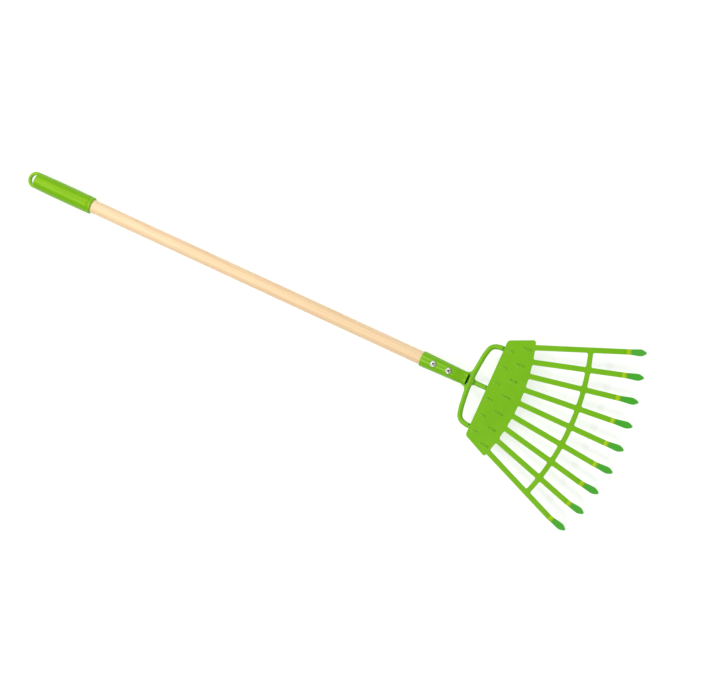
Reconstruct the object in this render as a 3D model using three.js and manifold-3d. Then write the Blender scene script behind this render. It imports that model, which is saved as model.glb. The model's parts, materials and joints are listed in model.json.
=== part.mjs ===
// A child's garden leaf rake: a wooden handle with a plastic grip, a steel ferrule,
// a welded yoke of round rod and a pressed sheet-steel comb of nine tines.
// Millimetres. The rake is drawn with +X along the handle towards the comb, +Y to its
// left, +Z up and the fan centre of the tines at x = 0. It is then laid on its tines
// and grip, with the middle of its footprint at the origin.

import * as THREE from 'three';
import { mergeVertices } from 'three/addons/utils/BufferGeometryUtils.js';
import Module from 'manifold-3d';

const wasm = await Module();
wasm.setup();

// ---- driving dimensions ----

const gap = 0.3; // clearance between touching pieces

const sheet = 2; // thickness of the comb's steel
const rodDiameter = 6.5; // yoke rod
const strutDiameter = 6;
const rodAxisZ = -(sheet / 2 + gap + rodDiameter / 2); // the rods lie under the plate

const tineCount = 9;
const tineStep = THREE.MathUtils.degToRad(5.43); // angle between neighbouring tines
const tineWidth = 7;
const bladeWidth = 8.8; // widest part of a tine's bent end
const bendPlace = 311.2; // corner of the bend, from the fan centre
const bendAngle = THREE.MathUtils.degToRad(50);
const bendRadius = 9;
const hookLength = 33.7; // from the corner of the bend to the point

const plateBack = 146.3;
const plateHalfAngle = THREE.MathUtils.degToRad(24.15);
// The plate's front edge and the brace are arcs a little flatter than the fan.
const plateArc = { crown: 192.5, radius: 253 };
const braceArc = { crown: 264.2, radius: 304 };
const braceWidth = 6.6;

const beadPitch = 22.2;
const outerBeads = { x: 173.4, count: 7, length: 14, width: 4.4, height: 1.2 };
const innerBeads = { x: 155.6, count: 6, length: 9.5, width: 3.8, height: 0.8 };
const beadFan = THREE.MathUtils.degToRad(0.058); // turn of a bead per mm off the middle

const woodRadius = 8.8;
const woodBack = -509;
const woodFront = 104;

const gripBack = -516.7; // shoulder of the hanging loop
const gripFront = -431.1;
const gripEndRadius = 10.95;
const gripRadius = 11.45; // widest part of the barrel
const gripWidestX = -470;
const gripContactX = -498; // where the barrel meets the ground
const gripRimRadius = 11.2;
const loopThickness = 6.5;
const loopLength = 9.3;
const loopSlotLength = 6.9;
const loopSlotHalfWidth = 6.6;

const ferruleBack = 53.5;
const ferruleFront = 118.9;
const ferruleMouthRadius = 10.35;
const ferruleEndRadius = 8.5;
const ferruleWall = 1.2;
const ferruleEndHeight = 9.6; // the front end is pressed to this height
const pressStart = 97;

const screwPlaces = [71.6, 93.2];
const screwHeadRadius = 3.5;
const screwHeadHeight = 2.3;
const screwShankRadius = 1.75;
const screwLength = 15;

const yokeMiddleX = 122.8;
const yokeHalfWidth = 52.3;
const yokeEndX = 166;

// ---- materials ----

const paintedSteel = { color: 0x74b81f, roughness: 0.38, metalness: 0.1 };
const gripPlastic = { color: 0x7ab827, roughness: 0.35, metalness: 0 };
const lacqueredWood = { color: 0xf0cf9c, roughness: 0.5, metalness: 0 };
const zinc = { color: 0xd4d6d8, roughness: 0.3, metalness: 0.9 };

// ---- helpers ----

const rake = new THREE.Group();

function addPart(name, geometry, look) {
	const mesh = new THREE.Mesh(geometry, new THREE.MeshStandardMaterial(look));
	mesh.name = name;
	rake.add(mesh);
	return mesh;
}

function toSolid(geometry) {
	const bare = geometry.clone();
	bare.deleteAttribute('normal');
	bare.deleteAttribute('uv');
	const merged = mergeVertices(bare, 1e-4);
	return new wasm.Manifold(new wasm.Mesh({
		numProp: 3,
		vertProperties: new Float32Array(merged.attributes.position.array),
		triVerts: new Uint32Array(merged.index.array),
	}));
}

function fromSolid(solid) {
	const mesh = solid.getMesh();
	const geometry = new THREE.BufferGeometry();
	geometry.setAttribute('position', new THREE.BufferAttribute(mesh.vertProperties, 3));
	geometry.setIndex(new THREE.BufferAttribute(mesh.triVerts, 1));
	geometry.computeVertexNormals();
	return geometry;
}

// A turned piece on the X axis, from a profile of [x, radius] points.
function turned(profile, sides) {
	const points = profile.map(([x, radius]) => new THREE.Vector2(radius, x));
	return new THREE.LatheGeometry(points, sides).rotateZ(-Math.PI / 2);
}

// A quarter-round of [x, radius] points around a centre.
function roundEdge(centreX, centreRadius, size, fromAngle, toAngle, steps) {
	const points = [];
	for (let i = 0; i <= steps; i++) {
		const angle = THREE.MathUtils.lerp(fromAngle, toAngle, i / steps);
		points.push([centreX + size * Math.cos(angle), centreRadius + size * Math.sin(angle)]);
	}
	return points;
}

function extruded(shape, depth, curveSegments) {
	const geometry = new THREE.ExtrudeGeometry(shape, { depth, bevelEnabled: false, curveSegments });
	return geometry.translate(0, 0, -depth / 2);
}

// Moves each vertex of a geometry by a function of its place.
function reshape(geometry, move) {
	const position = geometry.attributes.position;
	const point = new THREE.Vector3();
	for (let i = 0; i < position.count; i++) {
		point.fromBufferAttribute(position, i);
		move(point);
		position.setXYZ(i, point.x, point.y, point.z);
	}
	geometry.computeVertexNormals();
	return geometry;
}

// ---- handle ----

// Outer radius of the ferrule's cone, before its end is pressed.
function ferruleRadiusAt(x) {
	const along = (x - ferruleBack) / (ferruleFront - ferruleBack);
	return THREE.MathUtils.lerp(ferruleMouthRadius, ferruleEndRadius, along);
}

// How much lower than round the ferrule is at x.
function pressedBy(x) {
	const press = THREE.MathUtils.smoothstep(x, pressStart, ferruleFront - 2);
	return press * (ferruleRadiusAt(x) - ferruleEndHeight / 2);
}

function makeWood() {
	const spigotX = ferruleBack + 6;
	const spigotRadius = ferruleRadiusAt(spigotX) - ferruleWall - gap;
	const endRadius = ferruleRadiusAt(pressStart) - ferruleWall - gap;
	const wood = turned([
		[woodBack, 0],
		[woodBack, woodRadius - 1],
		[woodBack + 1, woodRadius],
		[ferruleBack - 4, woodRadius],
		[ferruleBack + 1, Math.min(woodRadius, spigotRadius)],
		[spigotX, Math.min(woodRadius, spigotRadius)],
		[pressStart, endRadius],
		[woodFront, 4.2],
		[woodFront, 0],
	], 40);
	let solid = toSolid(wood);
	for (const x of screwPlaces) solid = solid.subtract(toSolid(screwHole(x)));
	return fromSolid(solid);
}

function screwHole(x) {
	const length = screwLength + 4;
	const hole = new THREE.CylinderGeometry(screwShankRadius + gap, screwShankRadius + gap, length, 16);
	return hole.rotateX(Math.PI / 2).translate(x, 0, ferruleRadiusAt(x) + 2 - length / 2);
}

// ---- grip, with a D-shaped hanging loop ----

// The barrel is an arc of radii that is widest at gripWidestX.
function gripRadiusAt(x) {
	const end = x < gripWidestX ? gripBack : gripFront;
	const endRadius = x < gripWidestX ? gripEndRadius : gripRimRadius;
	const along = (x - gripWidestX) / (end - gripWidestX);
	return gripRadius - (gripRadius - endRadius) * along * along;
}

function makeGrip() {
	const edge = 3;
	const rim = 1.4;
	const bore = woodRadius + gap;
	const half = Math.PI / 2;
	const back = roundEdge(gripBack + edge, gripEndRadius - edge, edge, 2 * half, half, 4);
	const front = roundEdge(gripFront - rim, gripRimRadius - rim, rim, half, 0, 3);
	const barrel = [];
	for (let x = gripBack + 14; x < gripFront - 8; x += 10) barrel.push([x, gripRadiusAt(x)]);
	const body = turned([
		[gripBack, 0],
		...back,
		...barrel,
		...front,
		[gripFront, bore],
		[woodBack - gap, bore],
		[woodBack - gap, 0],
	], 40);
	return fromSolid(toSolid(body).add(toSolid(makeLoop())));
}

function makeLoop() {
	const bevel = 0.9;
	const root = gripBack + 2.6;
	const width = gripEndRadius - 0.1;
	const outline = new THREE.Shape();
	outline.moveTo(root, -width);
	outline.lineTo(root, width);
	outline.lineTo(gripBack, width);
	outline.absellipse(gripBack, 0, loopLength, width, Math.PI / 2, 3 * Math.PI / 2, false, 0);
	outline.closePath();
	const slot = new THREE.Path();
	slot.moveTo(gripBack + gap, -loopSlotHalfWidth);
	slot.lineTo(gripBack, -loopSlotHalfWidth);
	slot.absellipse(gripBack, 0, loopSlotLength, loopSlotHalfWidth, 3 * Math.PI / 2, Math.PI / 2, true, 0);
	slot.lineTo(gripBack + gap, loopSlotHalfWidth);
	slot.closePath();
	outline.holes.push(slot);
	const loop = new THREE.ExtrudeGeometry(outline, {
		depth: loopThickness - 2 * bevel,
		bevelThickness: bevel,
		bevelSize: bevel,
		bevelOffset: -bevel,
		bevelSegments: 2,
		curveSegments: 14,
	});
	return loop.translate(0, 0, bevel - loopThickness / 2);
}

// ---- ferrule: a cone whose front end is pressed flat ----

function makeFerrule() {
	const lip = 2.4;
	const outer = [[ferruleBack, ferruleRadiusAt(ferruleBack) - 1.3]];
	outer.push([ferruleBack + 0.5, ferruleRadiusAt(ferruleBack) - 0.7]);
	outer.push([ferruleBack + lip, ferruleRadiusAt(ferruleBack + lip) - 0.1]);
	const inner = [[ferruleBack, woodRadius + gap - 0.08], [ferruleBack + lip, woodRadius + gap]];
	const steps = 12;
	for (let i = 0; i <= steps; i++) {
		const x = i < 2 ? THREE.MathUtils.lerp(60, pressStart, i / 2)
			: THREE.MathUtils.lerp(pressStart, ferruleFront, (i - 2) / (steps - 2));
		outer.push([x, ferruleRadiusAt(x)]);
		inner.push([x, ferruleRadiusAt(x) - ferruleWall]);
	}
	const cone = turned([...outer, ...inner.reverse(), outer[0]], 40);
	reshape(cone, (point) => {
		const radius = Math.hypot(point.y, point.z);
		point.z *= 1 - pressedBy(point.x) / radius;
	});
	let solid = toSolid(cone);
	for (const x of screwPlaces) solid = solid.subtract(toSolid(screwHole(x)));
	return fromSolid(solid);
}

// ---- screws: pan heads with a cross recess, pointing down into the wood ----

function makeScrew(x) {
	const seat = ferruleRadiusAt(x) + gap / 2;
	const head = screwHeadRadius;
	const top = seat + screwHeadHeight;
	const profile = [
		[seat - screwLength, 0],
		[seat - screwLength + 3, screwShankRadius],
		[seat, screwShankRadius],
		[seat, head - 0.2],
		[seat + 0.5, head],
		[seat + 1.2, head - 0.35],
		[seat + 1.8, head - 1.2],
		[top, 1.2],
		[top, 0],
	];
	const points = profile.map(([height, radius]) => new THREE.Vector2(radius, height));
	let solid = toSolid(new THREE.LatheGeometry(points, 20).rotateX(Math.PI / 2));
	for (const turn of [Math.PI / 4, 3 * Math.PI / 4]) {
		const slot = new THREE.BoxGeometry(3.8, 0.9, 2.4).rotateZ(turn).translate(0, 0, top);
		solid = solid.subtract(toSolid(slot));
	}
	return fromSolid(solid).translate(x, 0, 0);
}

// ---- yoke: one bowed rod, a short strut and their welds ----

function makeYoke() {
	const half = [[0.4, 13], [1.8, 27], [3.6, 39], [7.4, 48.4], [16.2, yokeHalfWidth]];
	const side = (sign) => [
		...half.map(([x, y]) => new THREE.Vector3(yokeMiddleX + x, sign * y, 0)),
		new THREE.Vector3(150, sign * yokeHalfWidth, 0),
		new THREE.Vector3(yokeEndX, sign * yokeHalfWidth, 0),
	];
	const middle = new THREE.Vector3(yokeMiddleX, 0, 0);
	const route = new THREE.CatmullRomCurve3([...side(-1).reverse(), middle, ...side(1)]);
	const section = new THREE.Shape().absarc(0, 0, rodDiameter / 2, 0, 2 * Math.PI, false);
	return new THREE.ExtrudeGeometry(section, { extrudePath: route, steps: 64, curveSegments: 6 });
}

function makeStrut() {
	const start = yokeMiddleX + rodDiameter / 2 + gap;
	const radius = strutDiameter / 2;
	return turned([[start, 0], [start, radius], [yokeEndX - 1, radius], [yokeEndX, radius - 1], [yokeEndX, 0]], 16);
}

// A ring of weld where the strut meets the rod.
function makeStrutWeld() {
	const start = yokeMiddleX + rodDiameter / 2 + 2 * gap;
	const inside = strutDiameter / 2 + gap;
	return turned([[start, inside], [start, inside + 1.5], [start + 1, inside + 0.8],
		[start + 3.5, inside + 0.2], [start + 3.5, inside], [start, inside]], 16);
}

// A fillet of weld in the corner between the ferrule's side and the rod.
function makeFerruleWeld(sign) {
	const side = ferruleEndRadius + gap;
	const rodFace = yokeMiddleX - rodDiameter / 2 - gap;
	const fillet = new THREE.Shape();
	fillet.moveTo(rodFace - 9.5, side + 0.6);
	fillet.lineTo(rodFace - 0.1, side + 0.3);
	fillet.lineTo(rodFace + 0.1, side + 9);
	fillet.quadraticCurveTo(rodFace - 0.9, side + 1.7, rodFace - 9.5, side + 0.6);
	const weld = extruded(fillet, 4.4, 6);
	return sign > 0 ? weld : weld.rotateX(Math.PI);
}

// A fillet of weld along one side of a rod, up against the plate's underside.
function makePlateWeld(y, radius, sign) {
	const reach = radius + gap + 0.1;
	const top = -sheet / 2 - gap - rodAxisZ;
	const fillet = new THREE.Shape();
	fillet.moveTo(reach * 0.62, top);
	fillet.lineTo(reach + 2.3, top);
	fillet.quadraticCurveTo(reach + 0.5, top - 1, reach, top - 3);
	fillet.lineTo(reach * 0.88, reach * 0.5);
	fillet.closePath();
	const weld = new THREE.ExtrudeGeometry(fillet, { depth: 13, bevelEnabled: false, curveSegments: 4 });
	weld.rotateX(Math.PI / 2).rotateZ(Math.PI / 2);
	const bead = weld.translate(-6.5, 0, 0);
	if (sign < 0) bead.rotateZ(Math.PI);
	return bead.translate(157.5, y, 0);
}

// ---- comb: plate, tines and brace ----

function pointAt(radius, angle) {
	return new THREE.Vector2(radius * Math.cos(angle), radius * Math.sin(angle));
}

// How far along a ray from the fan centre, moved aside by an offset, it crosses an arc.
function reachOf(arc, angle, offset = 0, grow = 0) {
	const centreX = arc.crown - arc.radius;
	const across = offset + centreX * Math.sin(angle);
	return centreX * Math.cos(angle) + Math.sqrt((arc.radius + grow) ** 2 - across ** 2);
}

function makePlate() {
	const rounding = 5;
	const smallRounding = 3;
	const backHalf = plateBack * Math.tan(plateHalfAngle);
	const backRadius = plateBack / Math.cos(plateHalfAngle);
	const frontRadius = reachOf(plateArc, plateHalfAngle);
	const arcStartAngle = plateHalfAngle - rounding / frontRadius;
	const outline = new THREE.Shape();
	const nearBack = pointAt(backRadius + smallRounding, plateHalfAngle);
	const nearFront = pointAt(frontRadius - rounding, plateHalfAngle);
	const corner = pointAt(frontRadius, plateHalfAngle);
	const arcStart = pointAt(reachOf(plateArc, arcStartAngle), arcStartAngle);
	const centreX = plateArc.crown - plateArc.radius;
	const arcAngle = Math.atan2(arcStart.y, arcStart.x - centreX);
	outline.moveTo(plateBack, -backHalf + smallRounding);
	outline.lineTo(plateBack, backHalf - smallRounding);
	outline.quadraticCurveTo(plateBack, backHalf, nearBack.x, nearBack.y);
	outline.lineTo(nearFront.x, nearFront.y);
	outline.quadraticCurveTo(corner.x, corner.y, arcStart.x, arcStart.y);
	outline.absarc(centreX, 0, plateArc.radius, arcAngle, -arcAngle, true);
	outline.quadraticCurveTo(corner.x, -corner.y, nearFront.x, -nearFront.y);
	outline.lineTo(nearBack.x, -nearBack.y);
	outline.quadraticCurveTo(plateBack, -backHalf, plateBack, -backHalf + smallRounding);
	let solid = toSolid(extruded(outline, sheet, 10));
	for (const row of [outerBeads, innerBeads]) {
		for (let i = 0; i < row.count; i++) {
			const y = (i - (row.count - 1) / 2) * beadPitch;
			solid = solid.add(toSolid(beadBump(row, y, 0, sheet / 2)));
			solid = solid.subtract(toSolid(beadBump(row, y, 0.7, -sheet / 2)));
		}
	}
	return fromSolid(solid);
}

// A pressed stiffening bead: a long bump above, and a smaller hollow below.
function beadBump(row, y, smaller, z) {
	const bump = new THREE.SphereGeometry(1, 12, 8).rotateX(Math.PI / 2);
	bump.scale(row.length / 2 - smaller, row.width / 2 - smaller, row.height);
	return bump.rotateZ(y * beadFan).translate(row.x, y, z);
}

// Half the width of a tine at a distance along it, with a pointed arch at its end.
function tineHalfWidth(along, length) {
	const left = length - along;
	const flare = THREE.MathUtils.smoothstep(along, length - 30, length - 9);
	const half = THREE.MathUtils.lerp(tineWidth, bladeWidth, flare) / 2;
	const arch = 9;
	const tipHalf = 0.9;
	if (left >= arch) return half;
	return tipHalf + (half - tipHalf) * Math.sqrt(1 - ((arch - left) / arch) ** 2);
}

function makeTine(angle) {
	const start = reachOf(plateArc, angle) + gap;
	const tangent = bendRadius * Math.tan(bendAngle / 2);
	const straight = bendPlace - tangent - start;
	const arc = bendRadius * bendAngle;
	const length = straight + arc + hookLength - tangent;
	const steps = 32;
	// stations crowd into the bend and the point
	const stationAt = (fraction) => fraction < 0.125 ? fraction * 8 * straight
		: straight + (length - straight) * Math.sin((fraction - 0.125) / 0.875 * Math.PI / 2);
	const strip = new THREE.BoxGeometry(1, 1, sheet, steps, 1, 1);
	reshape(strip, (point) => {
		const along = stationAt(point.x + 0.5);
		const offset = point.y * 2 * tineHalfWidth(along, length);
		const skew = reachOf(plateArc, angle, offset) + gap - start; // the root follows the plate's edge
		const turn = THREE.MathUtils.clamp((along - straight) / bendRadius, 0, bendAngle);
		const before = Math.min(along, straight) + skew * Math.max(1 - along / straight, 0);
		const after = Math.max(along - straight - arc, 0);
		const x = start + before + bendRadius * Math.sin(turn) + after * Math.cos(turn);
		const z = -bendRadius * (1 - Math.cos(turn)) - after * Math.sin(turn);
		point.set(x + point.z * Math.sin(turn), offset, z + point.z * Math.cos(turn));
	});
	return strip.rotateZ(angle);
}

function makeBraceLink(angle) {
	const centreX = braceArc.crown - braceArc.radius;
	const clear = tineWidth / 2 + gap;
	// angle around the brace's own centre where it meets the side of a tine
	const meet = (ray, offset, grow) => {
		const along = reachOf(braceArc, ray, offset, grow);
		const x = along * Math.cos(ray) - offset * Math.sin(ray);
		const y = along * Math.sin(ray) + offset * Math.cos(ray);
		return Math.atan2(y, x - centreX);
	};
	const grow = braceWidth / 2;
	const link = new THREE.Shape();
	const next = angle + tineStep;
	link.absarc(centreX, 0, braceArc.radius + grow, meet(angle, clear, grow), meet(next, -clear, grow), false);
	link.absarc(centreX, 0, braceArc.radius - grow, meet(next, -clear, -grow), meet(angle, clear, -grow), true);
	link.closePath();
	return extruded(link, sheet, 4);
}

// ---- assembly ----

const handleParts = [
	addPart('handle', makeWood(), lacqueredWood),
	addPart('grip', makeGrip(), gripPlastic),
	addPart('ferrule', makeFerrule(), paintedSteel),
	addPart('screw_rear', makeScrew(screwPlaces[0]), zinc),
	addPart('screw_front', makeScrew(screwPlaces[1]), zinc),
	addPart('yoke', makeYoke(), paintedSteel),
	addPart('strut', makeStrut(), paintedSteel),
	addPart('weld_strut', makeStrutWeld(), paintedSteel),
	addPart('weld_ferrule_left', makeFerruleWeld(1), paintedSteel),
	addPart('weld_ferrule_right', makeFerruleWeld(-1), paintedSteel),
];
for (const [rod, y, radius] of [['left', yokeHalfWidth, rodDiameter / 2], ['middle', 0, strutDiameter / 2],
	['right', -yokeHalfWidth, rodDiameter / 2]]) {
	for (const [side, sign] of [['outer', 1], ['inner', -1]]) {
		const direction = y < 0 ? -sign : sign;
		handleParts.push(addPart(`weld_plate_${rod}_${side}`, makePlateWeld(y, radius, direction), paintedSteel));
	}
}
for (const mesh of handleParts) mesh.position.z = rodAxisZ;

addPart('head_plate', makePlate(), paintedSteel);
const firstTine = (tineCount - 1) / 2 * tineStep;
for (let i = 0; i < tineCount; i++) {
	addPart(`tine_${i + 1}`, makeTine(firstTine - i * tineStep), paintedSteel);
}
for (let i = 1; i < tineCount; i++) {
	addPart(`brace_${i}`, makeBraceLink(firstTine - i * tineStep), paintedSteel);
}

// Laid down, the rake touches the ground under the back of the grip and at the outer tines' points.
const tipRadius = bendPlace + hookLength * Math.cos(bendAngle);
const tipX = tipRadius * Math.cos(firstTine);
const tipZ = -hookLength * Math.sin(bendAngle) - sheet / 2 * Math.cos(bendAngle);
const gripZ = rodAxisZ - gripRadiusAt(gripContactX);
rake.rotation.y = -Math.atan2(gripZ - tipZ, tipX - gripContactX);
rake.updateMatrixWorld(true);

const footprint = new THREE.Box3().setFromObject(rake, true);
const middle = footprint.getCenter(new THREE.Vector3());
rake.position.set(-middle.x, -middle.y, -footprint.min.z);

const model = new THREE.Group();
model.add(rake);
export default model;
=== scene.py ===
# A child's garden leaf rake: the looks of its comb, yoke, ferrule, handle, grip and screws.
# Each piece is drawn in millimetres with +X along the handle, the tines' fan centre at the
# origin and the sheet's mid-plane at z = 0, and is then laid down where the CAD has it.
import json
from math import asin, atan2, cos, hypot, pi, radians, sin, sqrt, tan

import bmesh
import bpy
from mathutils import Matrix, Vector


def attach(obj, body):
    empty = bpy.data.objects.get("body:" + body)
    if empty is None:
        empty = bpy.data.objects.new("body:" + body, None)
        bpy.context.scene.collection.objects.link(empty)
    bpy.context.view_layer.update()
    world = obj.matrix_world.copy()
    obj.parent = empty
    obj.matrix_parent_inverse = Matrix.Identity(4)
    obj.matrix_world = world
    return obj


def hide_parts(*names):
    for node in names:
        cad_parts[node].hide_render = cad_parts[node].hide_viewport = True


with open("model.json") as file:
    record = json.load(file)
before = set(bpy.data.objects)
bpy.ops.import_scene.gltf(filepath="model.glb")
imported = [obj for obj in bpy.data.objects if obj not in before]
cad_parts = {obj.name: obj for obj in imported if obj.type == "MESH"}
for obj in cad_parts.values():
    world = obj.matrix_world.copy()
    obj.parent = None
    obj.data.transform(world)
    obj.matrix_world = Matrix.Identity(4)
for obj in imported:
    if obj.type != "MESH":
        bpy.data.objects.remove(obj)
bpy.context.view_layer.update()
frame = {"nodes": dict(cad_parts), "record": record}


# The plate's top face says how the comb lies, and where.
plateTop = next(m for m in frame["record"]["mounts"] if m["name"] == "plate_top")
plateMiddle = 164.5  # from the fan centre to the middle of the plate's top face
sheetHalf = 1.0
tilt = asin(-plateTop["axis"][0])
laidDown = (
    Matrix.Translation(plateTop["pos_m"])
    @ Matrix.Rotation(-tilt, 4, "Y")
    @ Matrix.Scale(0.001, 4)
    @ Matrix.Translation((-plateMiddle, 0, -sheetHalf))
)


def drawnPoints(node):
    return [laidDown.inverted() @ v.co for v in frame["nodes"][node].data.vertices]


def drawnBox(node):
    points = drawnPoints(node)
    low = Vector([min(p[i] for p in points) for i in range(3)])
    high = Vector([max(p[i] for p in points) for i in range(3)])
    return low, high


# ---- working in edit mode ----

def deselectAll():
    if bpy.context.object and bpy.context.object.mode != "OBJECT":
        bpy.ops.object.mode_set(mode="OBJECT")
    bpy.ops.object.select_all(action="DESELECT")


def named(name):
    piece = bpy.context.object
    piece.name = name
    piece.data.name = name
    return piece


def useOnly(piece):
    deselectAll()
    piece.select_set(True)
    bpy.context.view_layer.objects.active = piece


def openEdit(piece):
    useOnly(piece)
    bpy.ops.object.mode_set(mode="EDIT")


def closeEdit():
    bpy.ops.object.mode_set(mode="OBJECT")


def pickCorners(piece, test):
    # Selects the corners that pass a test, and nothing else.
    bpy.ops.mesh.select_mode(type="VERT")
    bpy.ops.mesh.select_all(action="DESELECT")
    shape = bmesh.from_edit_mesh(piece.data)
    for corner in shape.verts:
        if test(corner):
            corner.select_set(True)
    shape.select_flush_mode()
    bmesh.update_edit_mesh(piece.data)


def addModifier(piece, kind, **settings):
    modifier = piece.modifiers.new(kind.title(), kind)
    for key, value in settings.items():
        setattr(modifier, key, value)
    useOnly(piece)
    bpy.ops.object.modifier_apply(modifier=modifier.name)


def joinAll(pieces, name):
    deselectAll()
    for piece in pieces:
        piece.select_set(True)
    bpy.context.view_layer.objects.active = pieces[0]
    bpy.ops.object.join()
    return named(name)


def applyPlace(piece):
    useOnly(piece)
    bpy.ops.object.transform_apply(location=True, rotation=True, scale=True)


def tidyMesh(piece, apart=0.002):
    openEdit(piece)
    bpy.ops.mesh.select_all(action="SELECT")
    bpy.ops.mesh.remove_doubles(threshold=apart)
    bpy.ops.mesh.normals_make_consistent(inside=False)
    closeEdit()


def smoothBy(piece, degrees):
    useOnly(piece)
    bpy.ops.object.shade_smooth_by_angle(angle=radians(degrees))


def layDown(piece, material, nodes):
    piece.matrix_world = laidDown @ piece.matrix_world
    applyPlace(piece)
    piece.data.materials.clear()
    piece.data.materials.append(material)
    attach(piece, "root")
    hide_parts(*nodes)
    print("piece", piece.name, len(piece.data.polygons), "faces")


def turned(name, profile, sides, centre, axis=(1, 0, 0)):
    # A turned piece: the profile's [along, radius] points are drawn by extruding a vertex, and spun.
    along = Vector(axis)
    out = Vector((0, 0, 1)) if axis[0] else Vector((1, 0, 0))
    places = [Vector(centre) + along * a + out * r for a, r in profile]
    deselectAll()
    bpy.ops.mesh.primitive_plane_add(size=1)
    piece = named(name)
    openEdit(piece)
    bpy.ops.mesh.merge(type="CENTER")
    bpy.ops.transform.translate(value=places[0])
    for here, there in zip(places, places[1:]):
        bpy.ops.mesh.extrude_region_move(TRANSFORM_OT_translate={"value": there - here})
    bpy.ops.mesh.select_all(action="SELECT")
    bpy.ops.mesh.spin(steps=sides, angle=2 * pi, center=centre, axis=axis)
    closeEdit()
    tidyMesh(piece)
    return piece


def roundedEdge(centreAlong, centreRadius, size, fromAngle, toAngle, steps=6):
    points = []
    for i in range(steps + 1):
        angle = radians(fromAngle + (toAngle - fromAngle) * i / steps)
        points.append((centreAlong + size * cos(angle), centreRadius + size * sin(angle)))
    return points


def mixed(low, high, share):
    return low + (high - low) * share


def smoothStep(value, low, high):
    share = min(max((value - low) / (high - low), 0), 1)
    return share * share * (3 - 2 * share)


# ---- camera, floor and light ----

view = {
    "aim": (0.06948, -0.02319, 0.02011),
    "distance": 3.8384,
    "azimuth": 15.894,
    "elevation": 77.756,
    "roll": -81.41,
    "lens": 150.54,
}


def makeCamera():
    azimuth, elevation = radians(view["azimuth"]), radians(view["elevation"])
    back = Vector((cos(elevation) * cos(azimuth), cos(elevation) * sin(azimuth), sin(elevation)))
    look = back.to_track_quat("Z", "Y").to_matrix().to_4x4()
    lens = bpy.data.cameras.new("camera")
    lens.lens = view["lens"]
    lens.sensor_width = 36
    lens.clip_end = 50
    camera = bpy.data.objects.new("camera", lens)
    bpy.context.scene.collection.objects.link(camera)
    place = Matrix.Translation(Vector(view["aim"]) + back * view["distance"])
    camera.matrix_world = place @ look @ Matrix.Rotation(radians(view["roll"]), 4, "Z")
    bpy.context.scene.camera = camera
    print("camera ready")


studio = {
    "floorSize": 14,
    "floorColour": (0.36, 0.36, 0.358, 1),
    "floorGlow": 0.74,
    "worldLight": 0.26,
    "lights": {
        "key": {"place": (-0.75, -1.05, 2.5), "aim": (-0.6, 0, 0), "size": (1.8, 0.45), "power": 30},
        "fill": {"place": (-0.65, 1.45, 2.2), "aim": (-0.5, 0, 0), "size": (1.8, 0.5), "power": 22},
        "back": {"place": (-1.7, 0.1, 2.2), "aim": (0.2, 0.1, 0), "size": (1.5, 0.16), "power": 24},
        "front": {"place": (2.2, -0.1, 1.5), "aim": (0.1, 0, 0), "size": (0.7, 0.7), "power": 7},
    },
    "lightColour": (1, 0.99, 0.965),
}


def makeLight(name, values):
    lamp = bpy.data.lights.new(name, "AREA")
    lamp.shape = "RECTANGLE"
    lamp.size, lamp.size_y = values["size"]
    lamp.energy = values["power"]
    lamp.color = studio["lightColour"]
    light = bpy.data.objects.new(name, lamp)
    bpy.context.scene.collection.objects.link(light)
    place = Vector(values["place"])
    towards = Vector(values["aim"]) - place
    turn = towards.to_track_quat("-Z", "Y").to_matrix().to_4x4()
    light.matrix_world = Matrix.Translation(place) @ turn


def makeStudio():
    deselectAll()
    bpy.ops.mesh.primitive_plane_add(size=studio["floorSize"])
    floor = named("floor")
    look = bpy.data.materials.new("paleFloor")
    look.use_nodes = True
    shader = look.node_tree.nodes["Principled BSDF"]
    shader.inputs["Base Color"].default_value = studio["floorColour"]
    shader.inputs["Roughness"].default_value = 0.9
    shader.inputs["Specular IOR Level"].default_value = 0.1
    shader.inputs["Emission Color"].default_value = (1, 1, 1, 1)
    shader.inputs["Emission Strength"].default_value = studio["floorGlow"]
    floor.data.materials.append(look)
    world = bpy.data.worlds.new("studioWorld")
    world.use_nodes = True
    world.node_tree.nodes["Background"].inputs["Color"].default_value = (1, 1, 1, 1)
    world.node_tree.nodes["Background"].inputs["Strength"].default_value = studio["worldLight"]
    bpy.context.scene.world = world
    for name, values in studio["lights"].items():
        makeLight(name, values)
    bpy.context.scene.view_settings.view_transform = "Standard"
    print("studio ready")


# ---- materials ----

class Wire:
    # One output of a material's nodes, so that shader maths reads as a sum.
    def __init__(self, finish, socket):
        self.finish = finish
        self.socket = socket

    def maths(self, operation, first, second, clamp=False):
        settings = {"operation": operation, "use_clamp": clamp}
        return self.finish.node("Math", settings, {0: first, 1: second})

    def __add__(self, other):
        return self.maths("ADD", self, other)

    def __radd__(self, other):
        return self.maths("ADD", other, self)

    def __sub__(self, other):
        return self.maths("SUBTRACT", self, other)

    def __rsub__(self, other):
        return self.maths("SUBTRACT", other, self)

    def __mul__(self, other):
        return self.maths("MULTIPLY", self, other)

    def __pow__(self, other):
        return self.maths("POWER", self, other)

    def clamped(self):
        return self.maths("ADD", self, 0, clamp=True)


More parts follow.
